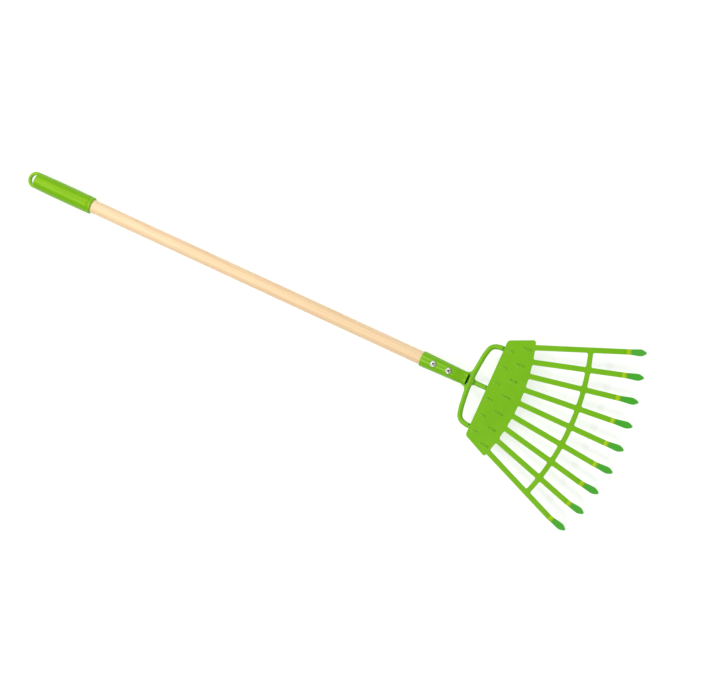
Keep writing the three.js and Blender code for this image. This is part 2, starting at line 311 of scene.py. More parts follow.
class Finish:
    # A material built from its nodes.
    def __init__(self, name):
        self.material = bpy.data.materials.new(name)
        self.material.use_nodes = True
        self.tree = self.material.node_tree
        self.shader = self.tree.nodes["Principled BSDF"]

    def node(self, kind, settings=None, sockets=None, output=0):
        made = self.tree.nodes.new("ShaderNode" + kind)
        for key, value in (settings or {}).items():
            setattr(made, key, value)
        for key, value in (sockets or {}).items():
            self.feed(made.inputs[key], value)
        return Wire(self, made.outputs[output])

    def feed(self, socket, value):
        if isinstance(value, Wire):
            self.tree.links.new(value.socket, socket)
        else:
            socket.default_value = value

    def set(self, **values):
        for key, value in values.items():
            self.feed(self.shader.inputs[key.replace("_", " ")], value)

    def place(self, scale=(1, 1, 1), turn=(0, 0, 0), move=(0, 0, 0)):
        # Object coordinates, moved, turned and then stretched.
        here = self.node("TexCoord", output=3)
        turnedPlace = self.node("Mapping", None, {"Vector": here, "Location": move, "Rotation": turn})
        return self.stretched(turnedPlace, scale)

    def stretched(self, place, scale):
        return self.node("VectorMath", {"operation": "MULTIPLY"}, {0: place, 1: scale})

    def grain(self, place, scale, detail=2, rough=0.5):
        sockets = {"Vector": place, "Scale": scale, "Detail": detail, "Roughness": rough}
        return self.node("TexNoise", None, sockets)

    def mixColour(self, share, first, second):
        return self.node("Mix", {"data_type": "RGBA"}, {0: share, 6: first, 7: second}, output=2)

    def bumps(self, height, distance):
        return self.node("Bump", None, {"Height": height, "Distance": distance, "Strength": 1.0})


paint = {
    "colour": (0.163, 0.463, 0.006, 1),
    "lighter": (0.190, 0.50, 0.007, 1),
    # The bend colour is a painted highlight along each tine's bend, the blade colour painted shade on the
    # bent blades, and the shade colour painted shade in corners, recesses and on the beads' steep flanks.
    "bendHighlightColour": (0.48, 0.74, 0.006, 1),
    "bladeShadeColour": (0.068, 0.57, 0.027, 1),
    "shadeColour": (0.006, 0.15, 0.012, 1),
    "sheen": (0.95, 1.0, 0.5, 1),
    "roughness": 0.30,
    "peelSize": 0.0011,
    "peelHeight": 0.00004,
}


def makePaint(name, withPaintedTineLight):
    # Powder coat: a fine orange peel, faint mottling and a few dust nibs.
    finish = Finish(name)
    here = finish.place()
    mottle = finish.grain(here, 55, 3)
    colour = finish.mixColour((mottle * 1.6 - 0.3).clamped(), paint["colour"], paint["lighter"])
    # Painted shade in corners, recesses and on the beads' steep flanks.
    shade = finish.node("Attribute", {"attribute_name": "paintedShadeShare"}, output=2)
    colour = finish.mixColour(shade, colour, paint["shadeColour"])
    if withPaintedTineLight:
        # A painted highlight along each tine's bend and painted shade on the bent blades, which face away
        # from the light.
        bend = finish.node("Attribute", {"attribute_name": "bendHighlightShare"}, output=2)
        blade = finish.node("Attribute", {"attribute_name": "bladeShadeShare"}, output=2)
        colour = finish.mixColour(blade, colour, paint["bladeShadeColour"])
        colour = finish.mixColour(bend, colour, paint["bendHighlightColour"])
    peel = finish.grain(here, 1 / paint["peelSize"], 2, 0.4)
    wave = finish.grain(here, 0.25 / paint["peelSize"], 1, 0.5)
    nibs = finish.node("TexVoronoi", None, {"Vector": here, "Scale": 90}, output=0)
    nib = (1 - nibs * 14).clamped()
    height = peel * 0.6 + wave * 0.3 + nib * 0.7
    finish.set(
        Base_Color=colour,
        Roughness=paint["roughness"] + mottle * 0.08 - 0.04,
        Normal=finish.bumps(height, paint["peelHeight"]),
    )
    finish.shader.inputs["Specular IOR Level"].default_value = 0.42
    finish.shader.inputs["Specular Tint"].default_value = paint["sheen"]
    return finish.material


plastic = {
    "colour": (0.150, 0.425, 0.004, 1),
    "lighter": (0.190, 0.48, 0.005, 1),
    "sheen": (1.0, 0.95, 0.22, 1),
}


def makeGripPlastic():
    finish = Finish("gripPlastic")
    here = finish.place()
    flow = finish.grain(finish.place(scale=(0.35, 1, 1)), 90, 3, 0.55)
    colour = finish.mixColour((flow * 1.5 - 0.25).clamped(), plastic["colour"], plastic["lighter"])
    skin = finish.grain(here, 1400, 2, 0.5)
    dents = finish.grain(here, 160, 1, 0.5)
    finish.set(
        Base_Color=colour,
        Roughness=0.30 + flow * 0.10,
        Normal=finish.bumps(skin * 0.4 + dents, 0.00005),
    )
    finish.shader.inputs["Specular IOR Level"].default_value = 0.5
    finish.shader.inputs["Specular Tint"].default_value = plastic["sheen"]
    return finish.material


wood = {
    "pale": (0.92, 0.735, 0.47, 1),
    "warm": (0.85, 0.58, 0.30, 1),
    "blush": (0.92, 0.605, 0.385, 1),
    "streak": (0.70, 0.43, 0.20, 1),
    "ringWidth": 0.0034,
    "pithAway": 0.038,
    "slope": 0.9,
    "lean": 0.25,
    "pithBelow": 0.45,
    "driftStretch": (2.2, 26, 26),
    "fibreStretch": (9, 1100, 1100),
    "patchStretch": (4, 120, 120),
    "poreStretch": (130, 2600, 2600),
    "blushStretch": (28, 190, 190),
}


def makeWoodFinish(axisZ):
    # Growth rings around a pith beside the handle, slightly askew to it, with long fibres and short pores.
    finish = Finish("paleWood")
    middle = laidDown @ Vector((0, 0, axisZ))
    turn = (0, tilt + radians(wood["lean"]), radians(wood["slope"]))
    onAxis = Matrix.Rotation(turn[2], 3, "Z") @ Matrix.Rotation(turn[1], 3, "Y") @ middle
    toPith = Vector((0, wood["pithAway"], wood["pithAway"] * wood["pithBelow"]))
    here = finish.place(turn=turn, move=-onAxis + toPith)
    drift = finish.grain(finish.stretched(here, wood["driftStretch"]), 1, 2)
    parts = finish.node("SeparateXYZ", None, {0: here})
    across = Wire(finish, parts.socket.node.outputs[1])
    up = Wire(finish, parts.socket.node.outputs[2])
    fromPith = (across * across + up * up) ** 0.5
    phase = fromPith * (1 / wood["ringWidth"]) + drift * 2.2
    ring = phase.maths("FRACT", phase, 0)
    band = (ring * ring * ring * 1.1).clamped()
    fibre = finish.grain(finish.stretched(here, wood["fibreStretch"]), 1, 3, 0.6)
    patch = finish.grain(finish.stretched(here, wood["patchStretch"]), 1, 3)
    pores = finish.grain(finish.stretched(here, wood["poreStretch"]), 1, 1)
    pore = ((pores - 0.66) * 6).clamped()
    colour = finish.mixColour((patch * 1.5 - 0.3).clamped(), wood["pale"], wood["warm"])
    blush = finish.grain(finish.stretched(here, wood["blushStretch"]), 1, 2)
    colour = finish.mixColour((blush * 4 - 1.9).clamped() * 0.8, colour, wood["blush"])
    colour = finish.mixColour((band * 0.55 + (fibre - 0.5) * 0.8).clamped(), colour, wood["warm"])
    colour = finish.mixColour((pore * 0.35 + (band * fibre) * 0.22).clamped(), colour, wood["streak"])
    finish.set(
        Base_Color=colour,
        Roughness=0.42 + fibre * 0.12 + pore * 0.1,
        Normal=finish.bumps(fibre * 0.5 - pore * 0.8 - band * 0.3, 0.00006),
    )
    finish.shader.inputs["Coat Weight"].default_value = 0.2
    finish.shader.inputs["Coat Roughness"].default_value = 0.3
    return finish.material


plating = {
    "dull": (0.60, 0.60, 0.57, 1),
    "bright": (0.84, 0.83, 0.79, 1),
    # The recess colour is painted shade, for the screws' recesses and the shadow ring round their heads.
    "recess": (0.05, 0.07, 0.05, 1),
}


def makeZinc():
    # Bright zinc: fine turning scratches and a slightly cloudy plating.
    finish = Finish("brightZinc")
    here = finish.place()
    cloud = finish.grain(here, 700, 3, 0.6)
    scratch = finish.grain(finish.place(scale=(1, 9, 9), turn=(0, 0, 0.7)), 1500, 2, 0.6)
    # Painted shade in the cross recess and a painted shadow on the rim under the head.
    paintedShade = finish.node("Attribute", {"attribute_name": "paintedShadeShare"}, output=2)
    colour = finish.mixColour(cloud, plating["dull"], plating["bright"])
    finish.set(
        Base_Color=finish.mixColour(paintedShade, colour, plating["recess"]),
        Roughness=0.3 + cloud * 0.2,
        Normal=finish.bumps(scratch * 0.6 + cloud * 0.4, 0.00003),
    )
    finish.shader.inputs["Metallic"].default_value = 1.0
    return finish.material


# ---- comb: one pressed sheet of plate, tines and brace ----

comb = {
    "tineWidth": 7.0,
    "bladeWidth": 8.8,
    "tipWidth": 2.4,
    "arch": 9.5,
    "archCurve": 1.5,
    "bendPlace": 311.2,
    "bendRadius": 9.0,
    "hookReach": 21.66,
    "hookDrop": 25.8,
    "bendRows": 10,
    "plateArc": {"crown": 192.5, "radius": 253.0},
    "braceArc": {"crown": 264.2, "radius": 304.0},
    "braceWidth": 6.5,
    "fillet": 2.0,
    "plateSides": (-23.95, 24.5),
    "frontCorner": 3.4,
    "backCorner": 3.0,
    "tineCells": 6,
    "windowCells": 20,
    "shoulderCells": 3,
    "plateRows": 74,
    "edgeSoftness": 0.3,
    "weldGap": 0.03,
    "flareLength": 30,
    "rowsToBrace": 9,
    "rowsToBend": 5,
    "hookRows": 8,
    "archRows": 10,
    "settleFrom": 0.86,
    # The bend band places a painted highlight, the blade band painted shade on the blades, and the bead
    # shade painted shade on the beads' steep flanks.
    "bendHighlightBand": (-2.6, 0.6, 2.6, 5.0),
    "bladeShadeBand": (2.2, 5.2),
    "beadShade": 0.7,
    "beadSteepSide": 0.3,
    "beadGentleSide": 0.7,
}
beadRows = [
    {"x": 173.4, "count": 7, "length": 13.0, "width": 3.6, "height": 1.15},
    {"x": 155.6, "count": 6, "length": 9.0, "width": 3.2, "height": 0.8},
]
beadPitch = 22.2
beadFan = radians(0.058)  # a bead's turn for each mm off the middle
filletShares = (0, 0.12, 0.36, 0.67, 1)
braceShares = (0, 0.15, 0.32, 0.5, 0.68, 0.85, 1)
# How far each tine's bend and point sit from the drawn places, since all are bent one by one.
bendShifts = (-1.3, 2.2, -0.3, 0.7, 1.2, -1.8, -3.3, -0.8, 2.2)
tipShifts = (-1.8, 0.7, 0.2, 1.2, 0.7, 0.2, -1.3, -0.3, 0.2)

tineCount = len([n for n in frame["nodes"] if n.startswith("tine_")])
plateBack = drawnBox("head_plate")[0].x
tineStep = radians(5.43)


def tineAngle(index):
    return (index - (tineCount - 1) / 2) * tineStep


def cornerBulge(away, size):
    # How far a round corner of this size reaches out of a straight side, at a distance from its start.
    if away >= size:
        return 0
    return size - sqrt(size * size - (size - away) ** 2)


def reachOf(arc, angle, offset=0, grow=0):
    # How far along a ray from the fan centre, moved aside by an offset, it crosses an arc.
    centreX = arc["crown"] - arc["radius"]
    across = offset + centreX * sin(angle)
    return centreX * cos(angle) + sqrt((arc["radius"] + grow) ** 2 - across ** 2)


def tineHalfAt(left):
    # Half the width of a tine at a distance from its point, with a wider blade and a pointed arch.
    flare = 1 - smoothStep(left, comb["arch"], comb["flareLength"])
    half = mixed(comb["tineWidth"], comb["bladeWidth"], flare) / 2
    if left >= comb["arch"]:
        return half
    tipHalf = comb["tipWidth"] / 2
    return tipHalf + (half - tipHalf) * (1 - (1 - left / comb["arch"]) ** comb["archCurve"])


def hookOf(index):
    # The angle and length of a tine's bent end, from the corner of its bend.
    reach = comb["hookReach"] + tipShifts[index] - bendShifts[index]
    return atan2(comb["hookDrop"], reach), hypot(comb["hookDrop"], reach)


def tineStations(index):
    # Where a tine's bend starts and ends, and how long the tine is, measured along it.
    bend, hook = hookOf(index)
    tangent = comb["bendRadius"] * tan(bend / 2)
    bendStart = comb["bendPlace"] + bendShifts[index] - tangent
    bendEnd = bendStart + comb["bendRadius"] * bend
    return bendStart, bendEnd, bendEnd + hook - tangent


def tineRows(index):
    # Each row across a tine: its place, given how far off the middle line, its fillet and what is
    # left to the point.
    bendStart, bendEnd, length = tineStations(index)
    size = comb["fillet"]
    angle = tineAngle(index)
    grow = comb["braceWidth"] / 2

    def plate(offset):
        return reachOf(comb["plateArc"], angle, offset)

    def brace(share):
        return lambda offset: reachOf(comb["braceArc"], angle, offset, mixed(-grow, grow, share))

    def moved(edge, by):
        return lambda offset: edge(offset) + by

    def between(low, high, share):
        return lambda offset: mixed(low(offset), high(offset), share)

    def straight(offset):
        return bendStart

    inner, outer = brace(0), brace(1)
    rows = [(moved(plate, size * s), cornerBulge(size * s, size)) for s in filletShares]
    start, stop, count = moved(plate, size), moved(inner, -size), comb["rowsToBrace"]
    rows += [(between(start, stop, i / count), 0) for i in range(1, count)]
    rows += [(moved(inner, -size * s), cornerBulge(size * s, size)) for s in reversed(filletShares[1:])]
    rows += [(brace(share), braceBulge(share)) for share in braceShares]
    rows += [(moved(outer, size * s), cornerBulge(size * s, size)) for s in filletShares[1:]]
    start, count = moved(outer, size), comb["rowsToBend"]
    rows += [(between(start, straight, i / count), 0) for i in range(1, count)]
    along = [mixed(bendStart, bendEnd, i / comb["bendRows"]) for i in range(comb["bendRows"] + 1)]
    arch, count = comb["arch"], comb["hookRows"]
    along += [mixed(bendEnd, length - arch, i / count) for i in range(1, count)]
    count = comb["archRows"]
    along += [length - arch * (1 - sin(i / count * pi / 2)) for i in range(count + 1)]
    rows += [(moved(straight, x - bendStart), 0) for x in along]
    return [(place, bulge, length - place(0)) for place, bulge in rows]


def braceBulge(share):
    # The fillets between a tine and the brace, inside the brace's own width.
    width = comb["braceWidth"]
    size = comb["fillet"]
    return max(cornerBulge(share * width, size), cornerBulge((1 - share) * width, size))


def gridPiece(name, rows, columns, placeAt):
    # A grid whose corner at (row, column) is placed by a rule.
    deselectAll()
    bpy.ops.mesh.primitive_grid_add(x_subdivisions=rows - 1, y_subdivisions=columns - 1, size=2)
    piece = named(name)
    for corner in piece.data.vertices:
        row = round((corner.co.x + 1) / 2 * (rows - 1))
        column = round((corner.co.y + 1) / 2 * (columns - 1))
        corner.co = placeAt(row, column)
    return piece


def makeTine(index):
    rows = tineRows(index)
    cells = comb["tineCells"]
    bendStart, bendEnd = tineStations(index)[:2]

    def placeAt(row, column):
        place, bulge, left = rows[row]
        across = 2 * column / cells - 1
        free = (index == 0 and across < 0) or (index == tineCount - 1 and across > 0)
        offset = across * (tineHalfAt(left) + (0 if free else bulge))
        return Vector((place(offset), offset, 0))

    tine = gridPiece(f"tineSheet{index}", len(rows), cells + 1, placeAt)
    openEdit(tine)
    step = hookOf(index)[0] / comb["bendRows"]
    for i in range(comb["bendRows"]):
        bendAt(tine, bendStart, bendEnd, i, step)
    closeEdit()
    tine.rotation_euler.z = tineAngle(index)
    applyPlace(tine)
    return tine


def bendAt(tine, bendStart, bendEnd, i, step):
    # Turns all that lies beyond one fold of the bend down by one step.
    turnedBy = i * step
    fold = (bendEnd - bendStart) / comb["bendRows"]
    x, z = bendStart + fold / 2, 0.0
    for k in range(i):
        x += fold * cos((k + 1) * step)
        z -= fold * sin((k + 1) * step)
    foldDirection = Vector((cos(turnedBy), 0, -sin(turnedBy)))
    foldPlace = Vector((x, 0, z))
    pickCorners(tine, lambda corner: (corner.co - foldPlace).dot(foldDirection) > 0.01)
    bpy.ops.transform.rotate(value=-step, orient_axis="Y", orient_type="GLOBAL", center_override=foldPlace)


def makeBraceLink(index):
    cells = comb["windowCells"]
    arc = comb["braceArc"]
    centreX = arc["crown"] - arc["radius"]
    grow = comb["braceWidth"] / 2

    def meetAngle(ray, offset, out):
        # Angle round the brace's own centre where it meets the side of a tine.
        along = reachOf(arc, ray, offset, out)
        return atan2(along * sin(ray) + offset * cos(ray), along * cos(ray) - offset * sin(ray) - centreX)

    def placeAt(row, column):
        out = mixed(-grow, grow, braceShares[row])
        offset = comb["tineWidth"] / 2 + braceBulge(braceShares[row])
        low = meetAngle(tineAngle(index), offset, out)
        high = meetAngle(tineAngle(index + 1), -offset, out)
        angle = mixed(low, high, column / cells)
        radius = arc["radius"] + out
        return Vector((centreX + radius * cos(angle), radius * sin(angle), 0))

    return gridPiece(f"braceSheet{index}", len(braceShares), cells + 1, placeAt)


def plateColumns():
    # Angles of the plate's columns: along the front edge, where they meet the tines, and evenly between.
    half = comb["tineCells"] / 2
    columns = []
    for i in range(tineCount):
        for k in range(comb["tineCells"] + 1):
            across = (k - half) / half
            free = (i == 0 and across < 0) or (i == tineCount - 1 and across > 0)
            offset = across * (comb["tineWidth"] / 2 + (0 if free else comb["fillet"]))
            columns.append(tineAngle(i) + atan2(offset, reachOf(comb["plateArc"], tineAngle(i), offset)))
        if i < tineCount - 1:
            low = columns[-1]
            high = 2 * tineAngle(i) + tineStep - low
            columns += [mixed(low, high, k / comb["windowCells"]) for k in range(1, comb["windowCells"])]
    return columns


def makePlate():
    arc = plateColumns()
    cells = comb["shoulderCells"]
    rows = comb["plateRows"]
    total = len(arc) + 2 * cells

    def endAngle(side, share):
        # Angle of the plate's end at a share of its depth, with its corners rounded off.
        back = plateBack / cos(side)
        front = reachOf(comb["plateArc"], side)
        fromBack = share * (front - back)
        fromFront = (front - back) - fromBack
        inset = cornerBulge(fromFront, comb["frontCorner"]) + cornerBulge(fromBack, comb["backCorner"])
        return abs(side) - inset / mixed(back, front, share)

    def placeAt(row, column):
        share = row / rows
        settle = smoothStep(share, comb["settleFrom"], 1)
        k = min(max(column - cells, 0), len(arc) - 1)
        angle = mixed(mixed(arc[0], arc[-1], k / (len(arc) - 1)), arc[k], settle)
        if column < cells:
            angle = mixed(-endAngle(radians(comb["plateSides"][0]), share), angle, column / cells)
        if column >= cells + len(arc):
            past = (column - cells - len(arc) + 1) / cells
            angle = mixed(angle, endAngle(radians(comb["plateSides"][1]), share), past)
        radius = mixed(plateBack / cos(angle), reachOf(comb["plateArc"], angle), share)
        return Vector((radius * cos(angle), radius * sin(angle), 0))

    plate = gridPiece("plateSheet", rows + 1, total, placeAt)
    for corner in plate.data.vertices:
        corner.co.z += beadAt(corner.co.x, corner.co.y)[0]
    return plate


def beadAt(x, y):
    # Height of the pressed stiffening beads over the flat sheet, and where their steep side is, which gets
    # painted shade.
    height = steep = 0
    for row in beadRows:
        if abs(x - row["x"]) > row["length"]:
            continue
        for i in range(row["count"]):
            middle = (i - (row["count"] - 1) / 2) * beadPitch
            if abs(y - middle) > row["length"]:
                continue
            turn = middle * beadFan
            dx, dy = x - row["x"], y - middle
            along = dx * cos(turn) + dy * sin(turn)
            across = dy * cos(turn) - dx * sin(turn)
            straight = (row["length"] - row["width"]) / 2
            reach = row["width"] * comb["beadSteepSide" if across > 0 else "beadGentleSide"]
            away = hypot(max(abs(along) - straight, 0) / (row["width"] / 2), across / reach)
            if away < 1:
                height += row["height"] * (0.5 + 0.5 * cos(pi * away))
                steep = max(steep, smoothStep(across / reach, 0.1, 0.4) * smoothStep(1 - away, 0, 0.25))
    return height, steep


def paintCombLightAndShade(piece):
    # Shares of a painted highlight along each tine's bend and of painted shade on its bent blade, by the
    # distance from each tine's bend, and of painted shade on the beads' steep flanks.
    bend = piece.data.attributes.new("bendHighlightShare", "FLOAT", "POINT")
    blade = piece.data.attributes.new("bladeShadeShare", "FLOAT", "POINT")
    paintedShade = piece.data.attributes.new("paintedShadeShare", "FLOAT", "POINT")
    bendIn, bendFull, bendFade, bendOut = comb["bendHighlightBand"]
    for i, corner in enumerate(piece.data.vertices):
        index = round(atan2(corner.co.y, corner.co.x) / tineStep + (tineCount - 1) / 2)
        index = min(max(index, 0), tineCount - 1)
        past = hypot(corner.co.x, corner.co.y) - comb["bendPlace"] - bendShifts[index]
        bend.data[i].value = smoothStep(past, bendIn, bendFull) * (1 - smoothStep(past, bendFade, bendOut))
        blade.data[i].value = smoothStep(past, *comb["bladeShadeBand"])
        paintedShade.data[i].value = comb["beadShade"] * beadAt(corner.co.x, corner.co.y)[1]


def makeComb(material):
    sheets = [makePlate()]
    sheets += [makeTine(i) for i in range(tineCount)]
    sheets += [makeBraceLink(i) for i in range(tineCount - 1)]
    piece = joinAll(sheets, "combSheet")
    tidyMesh(piece, comb["weldGap"])
    if sum(face.normal.z for face in piece.data.polygons) < 0:
        openEdit(piece)
        bpy.ops.mesh.select_all(action="SELECT")
        bpy.ops.mesh.flip_normals()
        closeEdit()
    addModifier(piece, "SOLIDIFY", thickness=2 * sheetHalf, offset=0, use_even_offset=True)
    addModifier(piece, "BEVEL", width=comb["edgeSoftness"], segments=2, limit_method="ANGLE",
                angle_limit=radians(50), use_clamp_overlap=False)
    smoothBy(piece, 35)
    paintCombLightAndShade(piece)
    nodes = ["head_plate"] + [n for n in frame["nodes"] if n.startswith(("tine_", "brace_"))]
    layDown(piece, material, nodes)
    return piece


# ---- yoke: bowed rod, strut and their welds, fused ----

yoke = {
    "rodDiameter": 6.9,
    "strutDiameter": 6.5,
    "leftWider": 1.5,
    "bow": [(0.4, 13), (1.8, 27), (3.6, 39), (7.4, 48.4)],
    "turnIn": 16.2,
    "straightX": 150,
    "fineness": 0.42,
    "smoothing": 8,
    "routeSteps": 12,
    "roundSteps": 8,
    "fillet": {"size": 4.8, "inFerrule": 0.8, "inRod": 0.6, "longer": 3, "wider": 1.6, "height": 4.6},
    "scoop": {"back": 0.4, "aside": 0.2},
    "rootWeld": {"count": 22, "ahead": 0.5, "aside": 0.25, "up": 0.1, "size": (1.7, 1.1, 1.1)},
    "plateWeld": {"count": 8, "endGap": 1.4, "down": 1.0, "size": (1.5, 1.75, 1.5)},
    "edgeShade": {"depth": 0.8, "start": 3.4, "full": 1.2, "side": 1.2},
    "rootShade": {"depth": 0.4, "ahead": 1.2, "full": 1.5, "end": 4.5},
}


def addBall(place, size):
    bpy.ops.mesh.primitive_uv_sphere_add(segments=16, ring_count=10, radius=1, location=place)
    ball = named("weldDrop")
    ball.scale = size
    return ball


def makeYokeRod(low, high, radius, axisZ):
    middleX = low.x + radius
    halfWidth = high.y - radius
    half = [(middleX + x, y) for x, y in yoke["bow"]]
    half += [(middleX + yoke["turnIn"], halfWidth), (yoke["straightX"], halfWidth), (high.x, halfWidth)]
    wider = 1 + yoke["leftWider"] / halfWidth
    route = [(x, -y) for x, y in reversed(half)] + [(middleX, 0)] + [(x, y * wider) for x, y in half]
    bpy.ops.curve.primitive_bezier_curve_add()
    rod = named("rod")
    line = rod.data.splines[0]
    line.bezier_points.add(len(route) - len(line.bezier_points))
    for point, (x, y) in zip(line.bezier_points, route):
        point.co = (x, y, axisZ)
        point.handle_left_type = point.handle_right_type = "AUTO"
    rod.data.dimensions = "3D"
    rod.data.resolution_u = yoke["routeSteps"]
    rod.data.bevel_depth = radius
    rod.data.bevel_resolution = yoke["roundSteps"]
    rod.data.use_fill_caps = True
    useOnly(rod)
    bpy.ops.object.convert(target="MESH")
    return bpy.context.object


def makeCornerFillet(sideY, backX, axisZ, sign):
    # A block in the corner between the ferrule's side and the rod, scooped out by a cylinder.
    fillet, gap = yoke["fillet"], yoke["scoop"]
    size = fillet["size"]
    centre = (backX - size / 2, sign * (sideY + size / 2 - fillet["inFerrule"]), axisZ)
    bpy.ops.mesh.primitive_cube_add(size=1, location=centre)
    block = named("fillet")
    block.scale = (size + fillet["longer"], size + fillet["wider"], fillet["height"])
    scoopPlace = (backX - size - gap["back"], sign * (sideY + size + gap["aside"]), axisZ)
    bpy.ops.mesh.primitive_cylinder_add(vertices=64, radius=size, depth=20, location=scoopPlace)
    scoop = bpy.context.object
    addModifier(block, "BOOLEAN", object=scoop, operation="DIFFERENCE", solver="EXACT")
    bpy.data.objects.remove(scoop)
    return block


def shadeCavities(piece, middleX, yokeSide, radius, axisZ):
    # Shares of painted shade in the corners: on the rods' upper side under the plate's edge, and round the
    # strut's root.
    share = piece.data.attributes.new("paintedShadeShare", "FLOAT", "POINT")
    under, foot = yoke["edgeShade"], yoke["rootShade"]
    rootX = middleX + radius + foot["ahead"]
    for i, corner in enumerate(piece.data.vertices):
        x, y, z = corner.co
        upper = smoothStep(z, axisZ - 0.5, axisZ + radius * 0.7)
        rodY = min((0, yokeSide, -yokeSide), key=lambda place: abs(y - place))
        edge = smoothStep(x, plateBack - under["start"], plateBack - under["full"])
        edge *= under["depth"] * smoothStep(y - rodY, -under["side"], under["side"])
        root = foot["depth"] * (1 - smoothStep(hypot(x - rootX, y), foot["full"], foot["end"]))
        share.data[i].value = upper * max(edge, root)


def makeYoke(material):
    low, high = drawnBox("yoke")
    strutHigh = drawnBox("strut")[1]
    radius = yoke["rodDiameter"] / 2
    axisZ = (high.z + low.z) / 2
    strutRadius = yoke["strutDiameter"] / 2
    deselectAll()
    parts = [makeYokeRod(low, high, radius, axisZ)]
    middleX = low.x + radius
    strutMiddle = ((strutHigh.x + middleX) / 2, 0, axisZ)
    strutLength = strutHigh.x - middleX
    bpy.ops.mesh.primitive_cylinder_add(vertices=48, radius=strutRadius, depth=strutLength,
                                        location=strutMiddle, rotation=(0, pi / 2, 0))
    parts.append(named("strutRod"))
    weld = yoke["rootWeld"]
    for k in range(weld["count"]):
        angle = 2 * pi * k / weld["count"]
        y = (strutRadius + weld["aside"]) * cos(angle)
        z = axisZ + (strutRadius + weld["up"]) * sin(angle)
        parts.append(addBall((middleX + radius + weld["ahead"], y, z), weld["size"]))
    ferruleSide = drawnBox("weld_ferrule_left")[0].y
    for sign in (-1, 1):
        parts.append(makeCornerFillet(ferruleSide, low.x + yoke["fillet"]["inRod"], axisZ, sign))
    weld = yoke["plateWeld"]
    for node in ("left", "middle", "right"):
        for side in ("outer", "inner"):
            weldLow, weldHigh = drawnBox(f"weld_plate_{node}_{side}")
            y = (weldLow.y + weldHigh.y) / 2
            for k in range(weld["count"]):
                x = mixed(weldLow.x + weld["endGap"], weldHigh.x - weld["endGap"], k / (weld["count"] - 1))
                parts.append(addBall((x, y, weldHigh.z - weld["down"]), weld["size"]))
    for part in parts:
        applyPlace(part)
    piece = joinAll(parts, "yokeFrame")
    addModifier(piece, "REMESH", mode="VOXEL", voxel_size=yoke["fineness"], adaptivity=0)
    addModifier(piece, "SMOOTH", factor=0.5, iterations=yoke["smoothing"])
    useOnly(piece)
    bpy.ops.object.shade_smooth()
    shadeCavities(piece, middleX, high.y - radius, radius, axisZ)
    nodes = [n for n in frame["nodes"] if n.startswith("weld_")] + ["yoke", "strut"]
    layDown(piece, material, nodes)
    return piece


# ---- ferrule ----

ferrule = {
    "wall": 1.2,
    "mouthGrow": 0.1,
    "lipRound": 0.8,
    "lipDrop": 0.9,
    "lipLength": 2.6,
    "endRound": 0.6,
    "slopeLength": 8,
    "insideShade": 0.6,
    "endHeight": 9.6,
    "pressLength": 22,
    "endHalf": 8.5,
    "endSlope": 1.1,
    "mouthBore": 8.95,
    "stations": 12,
}


def makeFerrule(material, axisZ):
    low, high = drawnBox("ferrule")
    back, front = low.x, high.x
    mouth = high.y + ferrule["mouthGrow"]
    endHalf = ferrule["endHalf"]
    wall = ferrule["wall"]

    def radiusAt(x):
        return mixed(mouth, endHalf, (x - back) / (front - back))

    pressStart = front - ferrule["pressLength"]
    endRound = ferrule["endRound"]
    count = ferrule["stations"]
    stations = [mixed(pressStart, front - endRound, i / count) for i in range(count + 1)]
    lip = ferrule["lipRound"]
    lipEnd = back + ferrule["lipLength"]
    outer = roundedEdge(back + lip, radiusAt(back) - ferrule["lipDrop"], lip, 180, 90)
    outer += [(back + 2.0, radiusAt(back + 2) - 0.05), (lipEnd, radiusAt(lipEnd))]
    cone = [mixed(lipEnd, pressStart, i / 4) for i in range(1, 4)]
    outer += [(x, radiusAt(x)) for x in cone + stations]
    end = roundedEdge(front - endRound, radiusAt(front) - endRound, endRound, 90, -90)
    inner = [(x, radiusAt(x) - wall) for x in reversed(stations)]
    inner += [(lipEnd, radiusAt(lipEnd) - wall), (back, ferrule["mouthBore"])]
    profile = outer + end + inner
    piece = turned("ferruleTube", profile + [profile[0]], 96, (0, 0, axisZ))
    # The inner wall gets painted shade, as the inside of the tube lies in shade.
    inside = piece.data.attributes.new("paintedShadeShare", "FLOAT", "POINT")
    halfHeight = ferrule["endHeight"] / 2
    for i, corner in enumerate(piece.data.vertices):
        x, y, z = corner.co
        radius = radiusAt(x)
        inside.data[i].value = ferrule["insideShade"] if hypot(y, z - axisZ) < radius - 0.9 * wall else 0
        squeeze = smoothStep(x, pressStart, front - 2) * (radius - halfHeight)
        corner.co.z = axisZ + (z - axisZ) * (1 - squeeze / radius)
        # the upper half of the end is cut back at a slant, so that it stands off the rod
        upper = min(max(2 * (corner.co.z - axisZ) / halfHeight, 0), 1)
        cut = smoothStep(x, front - ferrule["slopeLength"], front - endRound)
        corner.co.x -= ferrule["endSlope"] * upper * cut
    smoothBy(piece, 50)
    layDown(piece, material, ["ferrule"])
    return piece


# ---- wooden handle ----

handle = {
    "endRound": 1.0,
    "seatDepth": 6,
    "rings": 40,
    "taperStart": -10,
    "taperMiddle": 30,
    "taperRadius": 7.6,
    "endRadius": 4.2,
}


def makeHandle(material, axisZ):
    low, high = drawnBox("handle")
    radius = high.y
    edge = handle["endRound"]
    seat = drawnBox("ferrule")[0].x + handle["seatDepth"]
    taperStart = seat + handle["taperStart"]
    profile = [(low.x, 0)] + roundedEdge(low.x + edge, radius - edge, edge, 180, 90, 4)
    count = handle["rings"]
    profile += [(mixed(low.x + edge, taperStart, i / count), radius) for i in range(1, count + 1)]
    profile += [(seat + handle["taperMiddle"], handle["taperRadius"])]
    profile += [(high.x, handle["endRadius"]), (high.x, 0)]
    piece = turned("handleWood", profile, 96, (0, 0, axisZ))
    smoothBy(piece, 50)
    layDown(piece, material, ["handle"])
    return piece


# ---- grip with its hanging loop ----

